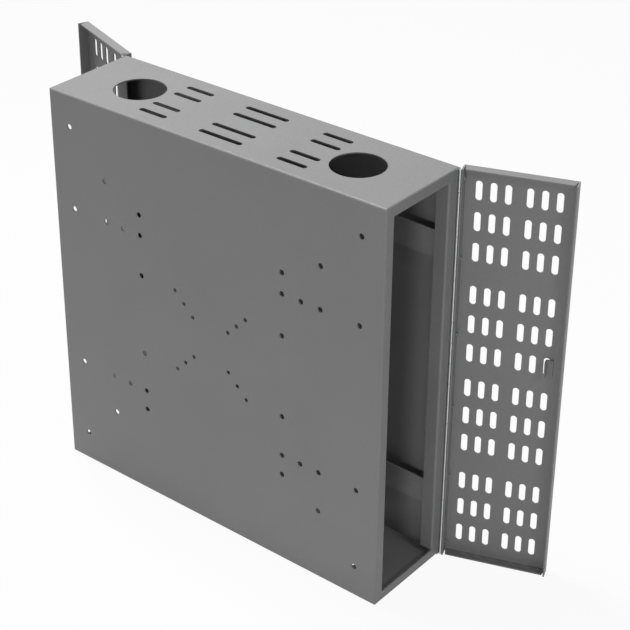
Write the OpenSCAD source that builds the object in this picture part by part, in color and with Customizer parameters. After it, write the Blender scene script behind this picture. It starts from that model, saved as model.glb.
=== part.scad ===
// Folded steel enclosure for signage players. A display bolts to its front plate, and a
// perforated door hangs on a long hinge at each back edge and closes over an open side.
// X runs to the right, Y from the front plate to the back and Z up. The origin is the
// centre of the underside, halfway through the depth.

/* [Box] */
// Width over the side flanges
body_w = 458; // [440:1:500]
// Height over the top and bottom
body_h = 477; // [460:1:540]
// Depth from the front plate to the back panel
body_d = 120; // [112:1:150]
// Thickness of every folded sheet
sheet = 1.5; // [1:0.1:2]
// Outer radius of the folds
fold_r = 2.2; // [2.1:0.1:3]
// Width of the flange round the front, top and bottom of each side opening
side_flange = 12; // [8:0.5:16]
// Width of the flange behind each side opening
back_flange = 15.8; // [12:0.1:20]
// Reach of the lip that turns in from the back flange
back_lip = 15.3; // [10:0.1:20]

/* [Top and bottom openings] */
// Diameter of the two cable holes
cable_hole_d = 59; // [40:1:64]
// Distance of each cable hole from the middle
cable_hole_x = 149; // [145:1:160]
// Width of the vent slots
vent_w = 6.6; // [4:0.1:8]
// Length of the vent slots in the middle group
vent_mid_l = 58; // [40:1:64]
// Length of the vent slots in the two outer groups
vent_side_l = 38; // [30:1:44]
// Distance of each outer group from the middle
vent_side_x = 94.5; // [90:0.5:96]
// Distance of the inner rows from the middle of the depth
vent_row_in = 16.5; // [14:0.5:20]
// Distance of the outer rows from the middle of the depth
vent_row_out = 37.3; // [32:0.1:42]

/* [Screw holes] */
// Diameter of the display holes that take M6
display_hole_d = 6.5; // [6.4:0.1:7]
// Diameter of the small display holes that take M4
small_hole_d = 5; // [4.5:0.1:5.2]
// Diameter of the fixing holes in the back panel
wall_hole_d = 9; // [7:0.5:10]

/* [Straps inside] */
// Height of each cross strap
strap_h = 30.7; // [20:0.1:36]
// Height of a strap's middle above or below the middle of the box
strap_z = 153.4; // [120:0.1:160]
// Thickness of the straps
strap_t = 2; // [1.5:0.1:3]

/* [Doors] */
// Opening angle of the doors as they stand here
door_open = 110; // [0:1:110]
// Width of a door
door_w = 116; // [106:0.5:116]
// Depth of a door over its flanges
door_t = 14.5; // [13:0.5:18]
// Gap between a closed door and the side of the box
door_gap = 1.1; // [1.1:0.1:2]
// Gap above and below a door
door_end_gap = 0.2; // [0.2:0.1:3]
// Depth of the top and bottom flanges of a door
end_flange = 12.5; // [8:0.5:13]
// Width of the open notch at each corner of a door, at the flange tips
corner_notch = 2; // [1:0.5:4]
// Distance of the outer slots' middles from a door's free edge
slot_margin = 18.5; // [15:0.5:19]
// Width of the door slots
slot_w = 7; // [5:0.5:8]
// Length of the door slots
slot_l = 22; // [14:1:26]

/* [Hinges] */
// Distance of a hinge end from the top or bottom of the door
hinge_inset = 0.5; // [0.5:0.5:20]
// Knuckles on each hinge
knuckle_n = 19; // [7:2:25]
// Radius of the hinge barrel
barrel_r = 1.4; // [1.3:0.05:1.4]
// Radius of the hinge pin
pin_r = 0.65; // [0.5:0.05:0.65]
// Thickness of the hinge leaves
leaf_t = 0.8; // [0.6:0.1:0.8]
// Width of the door leaf from the hinge line
door_leaf_w = 10; // [9:0.5:10.5]

/* [Lock tabs] */
// Height of a lock tab
tab_h = 19; // [14:1:21]
// Reach of a lock tab from the door sheet
tab_reach = 8; // [7:0.5:11]
// Diameter of the hole in a lock tab
tab_hole_d = 3.5; // [2.5:0.5:3.5]

/* [Hidden] */
$fn = 48;
eps = 0.01;
coat = [0.47, 0.47, 0.47];
steel = [0.70, 0.71, 0.72];

half_w = body_w/2;
half_d = body_d/2;
mid_z = body_h/2;
fold_in = fold_r - sheet;

// Display hole places, measured from the middle of the front plate: across, then up
display_holes = [[200, 200], [200, 100], [150, 150], [150, 100],
                 [125, 100], [100, 125], [100, 100], [100, 50]];
small_holes = [[50, 50], [37.5, 37.5], [25, 25]];
wall_holes = [[100, 100]];

// Hinge line beside the back edge, with a gap between its barrel and the leaf on the side
running_gap = 0.3;
barrel_off = 0.4;
hinge_x = half_w + leaf_t + barrel_off + barrel_r;
hinge_y = half_d - 2.3;
hinge_z = door_end_gap + hinge_inset;
hinge_l = body_h - 2*hinge_z;
pitch = hinge_l/knuckle_n;
knuckle_gap = 0.4;
pin_clearance = 0.06;

// A closed door: its sheet lies at the outside and its flanges point at the box. The hinge
// flange passes in front of the barrel, and the leaf lies on its outer face.
door_in = half_w + door_gap;
door_out = door_in + door_t;
door_face = door_out - sheet;
door_h = body_h - 2*door_end_gap;
door_back_y = hinge_y - barrel_r - running_gap;
door_free_y = door_back_y - door_w;
leaf_end = hinge_x + door_leaf_w;

// Slots run in two groups of three columns and four groups of three rows. The columns are
// measured from the free edge, and the hinge side keeps a slightly narrower margin.
hinge_margin = slot_margin - 3;
col_pitch = 15;
row_start = 21.5;
row_pitch = 35;
row_block = 120;
slot_cols = [for (side = [0, 1], i = [0:2])
    side*(door_w - hinge_margin - slot_margin - 2*i*col_pitch) + slot_margin + i*col_pitch];
slot_rows = [for (side = [-1, 1], block = [0:1], i = [0:2]) side*(row_start + i*row_pitch + block*row_block)];
tab_y = door_free_y + slot_margin + 1.1;
tab_z = mid_z + row_start;

// Rivets stand in rows that keep clear of the hinge ends
rivet_n = 6;
rivet_r = 1.6;
rivet_head_r = 2.6;
rivet_rows = [for (i = [0:rivet_n - 1]) hinge_z + pitch/2 + i*(hinge_l - pitch)/(rivet_n - 1)];
box_rivet_x = half_w - 8;
door_rivet_x = leaf_end - 3.2;

// A flat rectangle with true arcs at its corners, centred on the origin
module round_rect(a, b, r) {
    square([a - 2*r, b], center = true);
    square([a, b - 2*r], center = true);
    for (sx = [-1, 1], sy = [-1, 1])
        translate([sx*(a/2 - r), sy*(b/2 - r)]) circle(r = r);
}

// A block standing on the origin with every edge rounded
module round_block(w, d, h, r) {
    intersection() {
        linear_extrude(height = h) round_rect(w, d, r);
        translate([0, d/2, h/2]) rotate([90, 0, 0]) linear_extrude(height = d) round_rect(w, h, r);
        translate([-w/2, 0, h/2]) rotate([90, 0, 90]) linear_extrude(height = w) round_rect(d, h, r);
    }
}

// A slot outline lying along X
module slot_2d(l, w) {
    square([l - w, w], center = true);
    for (s = [-1, 1]) translate([s*(l - w)/2, 0]) circle(d = w);
}

// Cable holes and vent slots of the top, which the bottom repeats
module vent_pattern() {
    for (sx = [-1, 1]) {
        translate([sx*cable_hole_x, 0]) circle(d = cable_hole_d, $fn = 96);
        for (row = [vent_row_in, vent_row_out], sy = [-1, 1])
            translate([sx*vent_side_x, sy*row]) slot_2d(vent_side_l, vent_w);
    }
    for (row = [vent_row_in, vent_row_out], sy = [-1, 1])
        translate([0, sy*row]) slot_2d(vent_mid_l, vent_w);
}

// Four holes mirrored about the middle of a plate that faces Y
module hole_square(at, d, y0) {
    for (sx = [-1, 1], sz = [-1, 1])
        translate([sx*at[0], y0 - sheet, mid_z + sz*at[1]])
            rotate([-90, 0, 0]) cylinder(d = d, h = 3*sheet);
}

// Front, top and bottom folded from one sheet, with a narrow flange round each side opening
module front_shell() {
    over = 20;
    color(coat) difference() {
        translate([0, over/2, 0]) round_block(body_w, body_d + over, body_h, fold_r);
        translate([0, over/2, sheet])
            round_block(body_w - 2*sheet, body_d + over - 2*sheet, body_h - 2*sheet, fold_in);
        translate([-body_w, half_d, -eps]) cube([2*body_w, 2*over, body_h + 2*eps]);
        translate([-body_w, side_flange - half_d, side_flange])
            cube([2*body_w, body_d, body_h - 2*side_flange]);
        translate([0, 0, -sheet]) linear_extrude(height = body_h + 2*sheet) vent_pattern();
        for (at = display_holes) hole_square(at, display_hole_d, -half_d);
        for (at = small_holes) hole_square(at, small_hole_d, -half_d);
    }
}

// Section of the folded back edge: a side flange and a lip that turns in again
module back_edge_2d() {
    difference() {
        intersection() {
            translate([0, half_d - back_flange/2])
                round_rect(body_w, back_flange, fold_r);
            translate([half_w - back_lip, -body_d]) square([body_w, 3*body_d]);
        }
        translate([0, half_d - back_flange/2])
            round_rect(body_w - 2*sheet, back_flange - 2*sheet, fold_in);
    }
}

// Back panel with its folded edges, fixing holes and rivet holes
module back_panel() {
    seam = 0.2;
    edge_z = side_flange + seam;
    color(coat) difference() {
        union() {
            translate([sheet - half_w, half_d - sheet, sheet])
                cube([body_w - 2*sheet, sheet, body_h - 2*sheet]);
            for (side = [0, 1]) mirror([side, 0, 0])
                translate([0, 0, edge_z]) linear_extrude(height = body_h - 2*edge_z)
                    back_edge_2d();
        }
        for (at = wall_holes) hole_square(at, wall_hole_d, half_d - sheet);
        for (side = [0, 1]) mirror([side, 0, 0]) box_rivet_holes();
    }
}

// Flat strap that bridges the two lips behind their faces
module cross_strap(level) {
    reach = half_w - sheet - 0.5;
    color(coat) translate([-reach, half_d - back_flange + sheet, mid_z + level - strap_h/2])
        cube([2*reach, strap_t, strap_h]);
}

module upper_cross_strap() cross_strap(strap_z);
module lower_cross_strap() cross_strap(-strap_z);

// Swings what belongs to the right door from its closed place about the hinge line
module swung() {
    translate([hinge_x, hinge_y, 0]) rotate([0, 0, door_open])
        translate([-hinge_x, -hinge_y, 0]) children();
}

// Tray outline standing on the origin, open towards -X, its other edges folded to radius r
module tray_block(d, w, h, r) {
    intersection() {
        linear_extrude(height = h) round_rect(2*d, w, r);
        translate([-d, w/2, h/2]) rotate([90, 0, 0]) linear_extrude(height = w)
            translate([d, 0]) round_rect(2*d, h, r);
        translate([0, -w/2, 0]) cube([d, w, h]);
    }
}

// What the top and bottom flanges lack: their shorter reach and a notch beside each upright flange
module end_flange_cut() {
    tip = door_out - end_flange;
    root = door_face - fold_in - 1;
    low = door_free_y + sheet;
    high = door_back_y - sheet;
    linear_extrude(height = sheet + 2*eps)
        polygon([[door_in - 1, low], [root, low], [tip, low + corner_notch],
                 [tip, high - corner_notch], [root, high], [door_in - 1, high]]);
}

// Door tray in its closed place: perforated sheet and four flanges
module door_closed() {
    middle_y = door_free_y + door_w/2;
    difference() {
        translate([door_in, middle_y, door_end_gap]) tray_block(door_t, door_w, door_h, fold_r);
        translate([door_in - sheet, middle_y, door_end_gap + sheet])
            tray_block(door_t, door_w - 2*sheet, door_h - 2*sheet, fold_in);
        translate([0, 0, door_end_gap - eps]) end_flange_cut();
        translate([0, 0, body_h - door_end_gap - sheet - eps]) end_flange_cut();
        translate([door_face - sheet, door_free_y, mid_z]) rotate([90, 0, 90])
            linear_extrude(height = 3*sheet)
                for (c = slot_cols, r = slot_rows) translate([c, r]) rotate(90) slot_2d(slot_l, slot_w);
        door_rivet_holes();
    }
}

module right_door() color(coat) swung() door_closed();
module left_door() mirror([1, 0, 0]) right_door();

// Angle section with legs a along X and b along Y, folded at the origin
module angle_2d(a, b, t, r) {
    difference() {
        corner_2d(a, b, r);
        translate([t, t]) corner_2d(a, b, r - t);
    }
}

// Rectangle from the origin with a radius at the origin only
module corner_2d(a, b, r) {
    translate([r, 0]) square([a - r, b]);
    translate([0, r]) square([a, b - r]);
    translate([r, r]) circle(r = r);
}

// Lock tab: a foot on the inner face of the door and a leg with a hole that stands over a slot
module lock_tab_closed() {
    foot_w = 8;
    difference() {
        translate([door_face, tab_y, tab_z - tab_h/2]) mirror([1, 0, 0]) mirror([0, 1, 0])
            linear_extrude(height = tab_h) angle_2d(tab_reach, foot_w, sheet, fold_r);
        translate([door_face - tab_reach + 4, tab_y + sheet, tab_z]) rotate([90, 0, 0])
            cylinder(d = tab_hole_d, h = 4*sheet);
    }
}

module right_lock_tab() color(coat) swung() lock_tab_closed();
module left_lock_tab() mirror([1, 0, 0]) right_lock_tab();

// Every second knuckle of the barrel, starting at the first or the second
module knuckles(first, r, bore_r) {
    for (i = [first:2:knuckle_n - 1])
        translate([hinge_x, hinge_y, hinge_z + i*pitch + knuckle_gap/2]) difference() {
            cylinder(r = r, h = pitch - knuckle_gap);
            translate([0, 0, -1]) cylinder(r = bore_r, h = pitch + 2);
        }
}

// Room for the other leaf's knuckles and for the bore of the barrel
module knuckle_room(first) {
    for (i = [first:2:knuckle_n - 1])
        translate([hinge_x, hinge_y, hinge_z + i*pitch - knuckle_gap/2])
            cylinder(r = barrel_r + running_gap, h = pitch + knuckle_gap);
}

// Leaf on the box: one leg on the back panel, one round the corner beside the barrel
module box_leaf() {
    leaf_in = half_w - back_lip;
    corner_y = half_d - 6;
    difference() {
        union() {
            translate([leaf_in, half_d, hinge_z])
                cube([half_w + leaf_t - leaf_in, leaf_t, hinge_l]);
            translate([half_w, corner_y, hinge_z])
                cube([leaf_t, half_d + leaf_t - corner_y, hinge_l]);
            for (i = [0:2:knuckle_n - 1])
                translate([half_w, hinge_y + barrel_r - leaf_t, hinge_z + i*pitch + knuckle_gap/2])
                    cube([hinge_x - half_w, leaf_t, pitch - knuckle_gap]);
            knuckles(0, barrel_r, pin_r);
        }
        translate([hinge_x, hinge_y, hinge_z - 1]) cylinder(r = pin_r, h = hinge_l + 2);
        knuckle_room(1);
        box_rivet_holes();
    }
}

// Leaf on the outer face of the closed door's hinge flange
module door_leaf_closed() {
    difference() {
        union() {
            translate([hinge_x, door_back_y, hinge_z]) cube([leaf_end - hinge_x, leaf_t, hinge_l]);
            knuckles(1, barrel_r, pin_r + pin_clearance);
        }
        translate([hinge_x, hinge_y, hinge_z - 1])
            cylinder(r = pin_r + pin_clearance, h = hinge_l + 2);
        for (i = [0:2:knuckle_n - 1])
            translate([hinge_x - 2*barrel_r, hinge_y - 2*barrel_r, hinge_z + i*pitch - knuckle_gap/2])
                cube([3*barrel_r + running_gap, 4*barrel_r, pitch + knuckle_gap]);
        door_rivet_holes();
    }
}

module right_hinge_box_leaf() color(steel) box_leaf();
module left_hinge_box_leaf() mirror([1, 0, 0]) right_hinge_box_leaf();
module right_hinge_door_leaf() color(steel) swung() door_leaf_closed();
module left_hinge_door_leaf() mirror([1, 0, 0]) right_hinge_door_leaf();

module right_hinge_pin() {
    color(steel) translate([hinge_x, hinge_y, hinge_z - 0.6]) cylinder(r = pin_r, h = hinge_l + 1.2);
}
module left_hinge_pin() mirror([1, 0, 0]) right_hinge_pin();

module box_rivet_holes() {
    for (z = rivet_rows) translate([box_rivet_x, half_d - 2*sheet, z])
        rotate([-90, 0, 0]) cylinder(r = rivet_r, h = 4*sheet);
}

module door_rivet_holes() {
    for (z = rivet_rows) translate([door_rivet_x, door_back_y - 2*sheet, z])
        rotate([-90, 0, 0]) cylinder(r = rivet_r, h = 4*sheet);
}

// Blind rivet along Y through a stack that ends at the origin, with its head beyond it
module rivet(stack) {
    dome_r = rivet_head_r*1.9;
    rise = dome_r - sqrt(dome_r*dome_r - rivet_head_r*rivet_head_r);
    rotate([-90, 0, 0]) {
        translate([0, 0, -stack - 1.2]) cylinder(r = rivet_r, h = stack + 1.2);
        translate([0, 0, -stack - 1.2]) cylinder(r = rivet_r + 0.6, h = 1.2);
        intersection() {
            cylinder(r = rivet_head_r, h = rise);
            translate([0, 0, rise - dome_r]) sphere(r = dome_r);
        }
    }
}

module right_box_rivets() {
    color(steel) for (z = rivet_rows) translate([box_rivet_x, half_d + leaf_t, z]) rivet(sheet + leaf_t);
}
module left_box_rivets() mirror([1, 0, 0]) right_box_rivets();

module right_door_rivets() {
    color(steel) swung() for (z = rivet_rows)
        translate([door_rivet_x, door_back_y + leaf_t, z]) rivet(sheet + leaf_t);
}
module left_door_rivets() mirror([1, 0, 0]) right_door_rivets();

front_shell();
back_panel();
upper_cross_strap();
lower_cross_strap();
right_door();
left_door();
right_lock_tab();
left_lock_tab();
right_hinge_box_leaf();
left_hinge_box_leaf();
right_hinge_door_leaf();
left_hinge_door_leaf();
right_hinge_pin();
left_hinge_pin();
right_box_rivets();
left_box_rivets();
right_door_rivets();
left_door_rivets();
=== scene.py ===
import bpy
import math
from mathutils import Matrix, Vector


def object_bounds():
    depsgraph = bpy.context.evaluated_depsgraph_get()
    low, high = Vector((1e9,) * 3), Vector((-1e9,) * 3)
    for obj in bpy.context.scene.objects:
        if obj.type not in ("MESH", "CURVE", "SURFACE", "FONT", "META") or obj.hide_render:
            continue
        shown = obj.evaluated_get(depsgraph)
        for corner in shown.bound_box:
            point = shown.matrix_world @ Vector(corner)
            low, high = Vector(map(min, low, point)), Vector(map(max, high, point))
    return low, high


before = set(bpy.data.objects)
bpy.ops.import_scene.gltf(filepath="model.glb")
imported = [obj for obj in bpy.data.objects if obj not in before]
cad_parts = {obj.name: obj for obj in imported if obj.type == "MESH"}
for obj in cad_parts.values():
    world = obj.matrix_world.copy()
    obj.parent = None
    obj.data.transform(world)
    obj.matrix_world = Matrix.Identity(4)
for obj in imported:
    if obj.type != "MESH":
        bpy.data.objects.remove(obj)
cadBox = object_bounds()
print("frame loaded:", len(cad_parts), "pieces of the enclosure")

# Camera at the photograph's viewpoint
cameraSetup = {
    "place": (1.09381, -1.25694, 1.23006),   # metres
    "turn": (61.129, 0.031, 39.597),         # degrees about X, Y and Z
    "lens": 100.41,                          # millimetres
    "sensor": 36.0,                          # width in millimetres
    "shift": (0.0492, -0.0794),
    "clip": (0.05, 60.0),                    # nearest and farthest in metres
}


def setCamera(s):
    data = bpy.data.cameras.new("camera")
    data.sensor_width = s["sensor"]
    data.lens = s["lens"]
    data.shift_x, data.shift_y = s["shift"]
    data.clip_start, data.clip_end = s["clip"]
    camera = bpy.data.objects.new("camera", data)
    camera.location = s["place"]
    camera.rotation_euler = [math.radians(a) for a in s["turn"]]
    bpy.context.collection.objects.link(camera)
    bpy.context.scene.camera = camera


setCamera(cameraSetup)
print("camera set")


# Adds a node to a tree: sockets in inputs are wired, plain values are set
def addNode(tree, kind, inputs=None, **settings):
    node = tree.nodes.new(kind)
    for key, value in settings.items():
        setattr(node, key, value)
    for key, value in (inputs or {}).items():
        if isinstance(value, bpy.types.NodeSocket):
            tree.links.new(value, node.inputs[key])
        else:
            node.inputs[key].default_value = value
    return node


# One step of arithmetic on sockets or numbers
def addMath(tree, operation, *values):
    return addNode(tree, "ShaderNodeMath", dict(enumerate(values)), operation=operation).outputs[0]


def addNoise(tree, where, scale, detail):
    inputs = {"Vector": where, "Scale": scale, "Detail": detail}
    return addNode(tree, "ShaderNodeTexNoise", inputs).outputs["Fac"]


noiseBand = (0.3, 0.7)   # nearly all of a noise's values lie between these


# Spreads a noise out, so that it runs from low to high
def spreadNoise(tree, noise, low, high):
    inputs = {"Value": noise, "From Min": noiseBand[0], "From Max": noiseBand[1],
              "To Min": low, "To Max": high}
    return addNode(tree, "ShaderNodeMapRange", inputs).outputs["Result"]


# Goes from low to high as share goes from 0 to 1
def addRange(tree, share, low, high):
    inputs = {"Value": share, "To Min": low, "To Max": high}
    return addNode(tree, "ShaderNodeMapRange", inputs).outputs["Result"]


def mixColours(tree, share, first, second):
    inputs = {"Fac": share, "Color1": first, "Color2": second}
    return addNode(tree, "ShaderNodeMixRGB", inputs).outputs[0]


def addBump(tree, height, strength, depth):
    inputs = {"Height": height, "Strength": strength, "Distance": depth}
    return addNode(tree, "ShaderNodeBump", inputs).outputs["Normal"]


def newMaterial(name):
    material = bpy.data.materials.new(name)
    material.use_nodes = True
    return material, material.node_tree, material.node_tree.nodes["Principled BSDF"]


# Colour, roughness and bump of one finish go to the shader
def wireFinish(tree, shader, colour, gloss, normal):
    tree.links.new(colour, shader.inputs["Base Color"])
    tree.links.new(gloss, shader.inputs["Roughness"])
    tree.links.new(normal, shader.inputs["Normal"])


# Powder coat: fine orange peel, a faint speckle and slow drifts of tone
powderCoat = {
    "dark": (0.178, 0.178, 0.179, 1.0),
    "light": (0.262, 0.262, 0.263, 1.0),
    "gloss": (0.42, 0.56),   # roughness in the valleys and on the bumps of the peel
    "peelScale": 480.0,      # this and the other scales are bumps per metre
    "peelDetail": 3.0,
    "peelStrength": 0.5,
    "peelDepth": 0.0005,     # metres
    "speckScale": 1500.0,
    "speckDetail": 1.0,
    "speckShare": 0.6,       # how much of the tone is speckle
    "driftScale": 9.0,
    "driftDetail": 3.0,
    "driftShare": 0.4,       # how much of the tone drifts
}


def coatSockets(tree, where, s):
    peel = addNoise(tree, where, s["peelScale"], s["peelDetail"])
    speck = addNoise(tree, where, s["speckScale"], s["speckDetail"])
    drift = addNoise(tree, where, s["driftScale"], s["driftDetail"])
    fineTone = spreadNoise(tree, speck, 0.0, s["speckShare"])
    tone = addMath(tree, "MULTIPLY_ADD", drift, s["driftShare"], fineTone)
    colour = mixColours(tree, tone, s["dark"], s["light"])
    gloss = spreadNoise(tree, peel, *s["gloss"])
    normal = addBump(tree, peel, s["peelStrength"], s["peelDepth"])
    return colour, gloss, normal


def makePowderCoat(s):
    material, tree, shader = newMaterial("greyPowderCoat")
    where = addNode(tree, "ShaderNodeTexCoord").outputs["Object"]
    wireFinish(tree, shader, *coatSockets(tree, where, s))
    return material


# Zinc plate on the hinges: drawn lines and a mottled bloom on the barrel, powder coat beyond it
zincPlate = {
    "dark": (0.48, 0.49, 0.50, 1.0),
    "light": (0.64, 0.65, 0.66, 1.0),
    "gloss": (0.34, 0.52),
    "lineScale": (1500.0, 1500.0, 18.0),   # lines per metre along X, Y and Z
    "lineDetail": 3.0,
    "lineStrength": 0.25,
    "lineDepth": 0.00003,                  # metres
    "bloomScale": 160.0,
    "bloomDetail": 4.0,
    "hingeLine": (0.2316, 0.0577),         # metres from the middle to the side and to the back
    "bareRadius": 0.00155,                 # metres from the hinge line that stay bare
}

# Plain aluminium on the rivets of the box
rivetAluminium = {
    "dark": (0.58, 0.58, 0.59, 1.0),
    "light": (0.74, 0.74, 0.75, 1.0),
    "gloss": (0.28, 0.42),
    "lineScale": (900.0, 900.0, 900.0),
    "lineDetail": 3.0,
    "lineStrength": 0.25,
    "lineDepth": 0.00003,
    "bloomScale": 500.0,
    "bloomDetail": 4.0,
    "hingeLine": None,                     # bare all over
}


# 1 beyond the bare radius round either hinge line, and 0 within it
def coatedShare(tree, where, s):
    side, back = s["hingeLine"]
    place = addNode(tree, "ShaderNodeSeparateXYZ", {"Vector": where}).outputs
    across = addMath(tree, "ABSOLUTE", place["X"])
    aside = addMath(tree, "SUBTRACT", across, side)
    behind = addMath(tree, "SUBTRACT", place["Y"], back)
    offset = addNode(tree, "ShaderNodeCombineXYZ", {"X": aside, "Y": behind}).outputs[0]
    away = addNode(tree, "ShaderNodeVectorMath", {0: offset}, operation="LENGTH").outputs["Value"]
    return addMath(tree, "GREATER_THAN", away, s["bareRadius"])


def makeBareMetal(name, s):
    material, tree, shader = newMaterial(name)
    where = addNode(tree, "ShaderNodeTexCoord").outputs["Object"]
    stretch = addNode(tree, "ShaderNodeMapping", {"Vector": where, "Scale": s["lineScale"]})
    lines = addNoise(tree, stretch.outputs["Vector"], 1.0, s["lineDetail"])   # scaled by the stretch
    bloom = addNoise(tree, where, s["bloomScale"], s["bloomDetail"])
    colour = mixColours(tree, bloom, s["dark"], s["light"])
    gloss = spreadNoise(tree, lines, *s["gloss"])
    normal = addBump(tree, lines, s["lineStrength"], s["lineDepth"])
    shader.inputs["Metallic"].default_value = 1.0
    if s["hingeLine"]:
        coated = coatedShare(tree, where, s)
        coatColour, coatGloss, _ = coatSockets(tree, where, powderCoat)
        colour = mixColours(tree, coated, colour, coatColour)
        gloss = addRange(tree, coated, gloss, coatGloss)
        bare = addMath(tree, "SUBTRACT", 1.0, coated)
        tree.links.new(bare, shader.inputs["Metallic"])
    wireFinish(tree, shader, colour, gloss, normal)
    return material


coatFinish = makePowderCoat(powderCoat)
zincFinish = makeBareMetal("zincPlate", zincPlate)
aluminiumFinish = makeBareMetal("rivetAluminium", rivetAluminium)
print("materials made")

# The door rivets aren't bare: they were coated with the doors
for name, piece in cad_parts.items():
    if "box_rivets" in name:
        finish = aluminiumFinish
    elif "hinge" in name:
        finish = zincFinish
    else:
        finish = coatFinish
    for holder in piece.material_slots:
        holder.material = finish
print("materials set")

# Pale floor and a soft studio round the box
studio = {
    "plainWhite": (1.0, 1.0, 1.0, 1.0),
    "floorGap": 0.0004,      # metres below the box, so that the two faces don't flicker
    "floorHalf": 7.0,        # metres from the middle to each side
    "floorColour": (0.80, 0.80, 0.80, 1.0),
    "floorRoughness": 0.9,
    "floorSpecular": 0.1,
    "floorWhite": 0.93,      # share of plain white that the camera sees, the rest keeps the shadow
    "worldLight": 0.16,
}

# Square lamps that face their targets, in metres and watts
lamps = {
    "overhead": {"place": (-0.75, 0.0, 2.4), "target": (0.0, 0.0, 0.45), "width": 0.7, "watts": 52.0},
    "frontRight": {"place": (1.5, -2.9, 0.35), "target": (0.2, 0.0, 0.2), "width": 0.6, "watts": 18.3},
    "sideRight": {"place": (2.5, -0.6, 2.0), "target": (0.2, 0.0, 0.2), "width": 0.6, "watts": 12.0},
}


# 1 for a ray from the camera, off a glossy surface or through a clear one, and 0 for light on the box
def seenRays(tree):
    rays = addNode(tree, "ShaderNodeLightPath").outputs
    direct = addMath(tree, "MAXIMUM", rays["Is Camera Ray"], rays["Is Glossy Ray"])
    return addMath(tree, "MAXIMUM", direct, rays["Is Transmission Ray"])


def makeFloor(s):
    half = s["floorHalf"]
    z = cadBox[0][2] - s["floorGap"]
    corners = [(-half, -half, z), (half, -half, z), (half, half, z), (-half, half, z)]
    mesh = bpy.data.meshes.new("floor")
    mesh.from_pydata(corners, [], [(0, 1, 2, 3)])
    floor = bpy.data.objects.new("floor", mesh)
    bpy.context.collection.objects.link(floor)
    material, tree, shader = newMaterial("paleFloor")
    shader.inputs["Base Color"].default_value = s["floorColour"]
    shader.inputs["Roughness"].default_value = s["floorRoughness"]
    shader.inputs["Specular IOR Level"].default_value = s["floorSpecular"]
    white = addNode(tree, "ShaderNodeEmission", {"Color": s["plainWhite"], "Strength": 1.0})
    shown = addMath(tree, "MULTIPLY", seenRays(tree), s["floorWhite"])
    mix = addNode(tree, "ShaderNodeMixShader", {0: shown, 1: shader.outputs[0], 2: white.outputs[0]})
    tree.links.new(mix.outputs[0], tree.nodes["Material Output"].inputs["Surface"])
    mesh.materials.append(material)


def makeWorld(s):
    world = bpy.data.worlds.new("studio")
    bpy.context.scene.world = world
    world.use_nodes = True
    tree = world.node_tree
    background = tree.nodes["Background"]
    background.inputs["Color"].default_value = s["plainWhite"]
    strength = addRange(tree, seenRays(tree), s["worldLight"], 1.0)
    tree.links.new(strength, background.inputs["Strength"])


def makeLamp(name, s):
    data = bpy.data.lights.new(name, "AREA")
    data.shape = "SQUARE"
    data.size = s["width"]
    data.energy = s["watts"]
    lamp = bpy.data.objects.new(name, data)
    lamp.location = s["place"]
    aim = Vector(s["target"]) - Vector(s["place"])
    lamp.rotation_euler = aim.to_track_quat("-Z", "Y").to_euler()
    bpy.context.collection.objects.link(lamp)


makeFloor(studio)
makeWorld(studio)
for name, s in lamps.items():
    makeLamp(name, s)
bpy.context.scene.view_settings.view_transform = "Standard"
print("studio made")
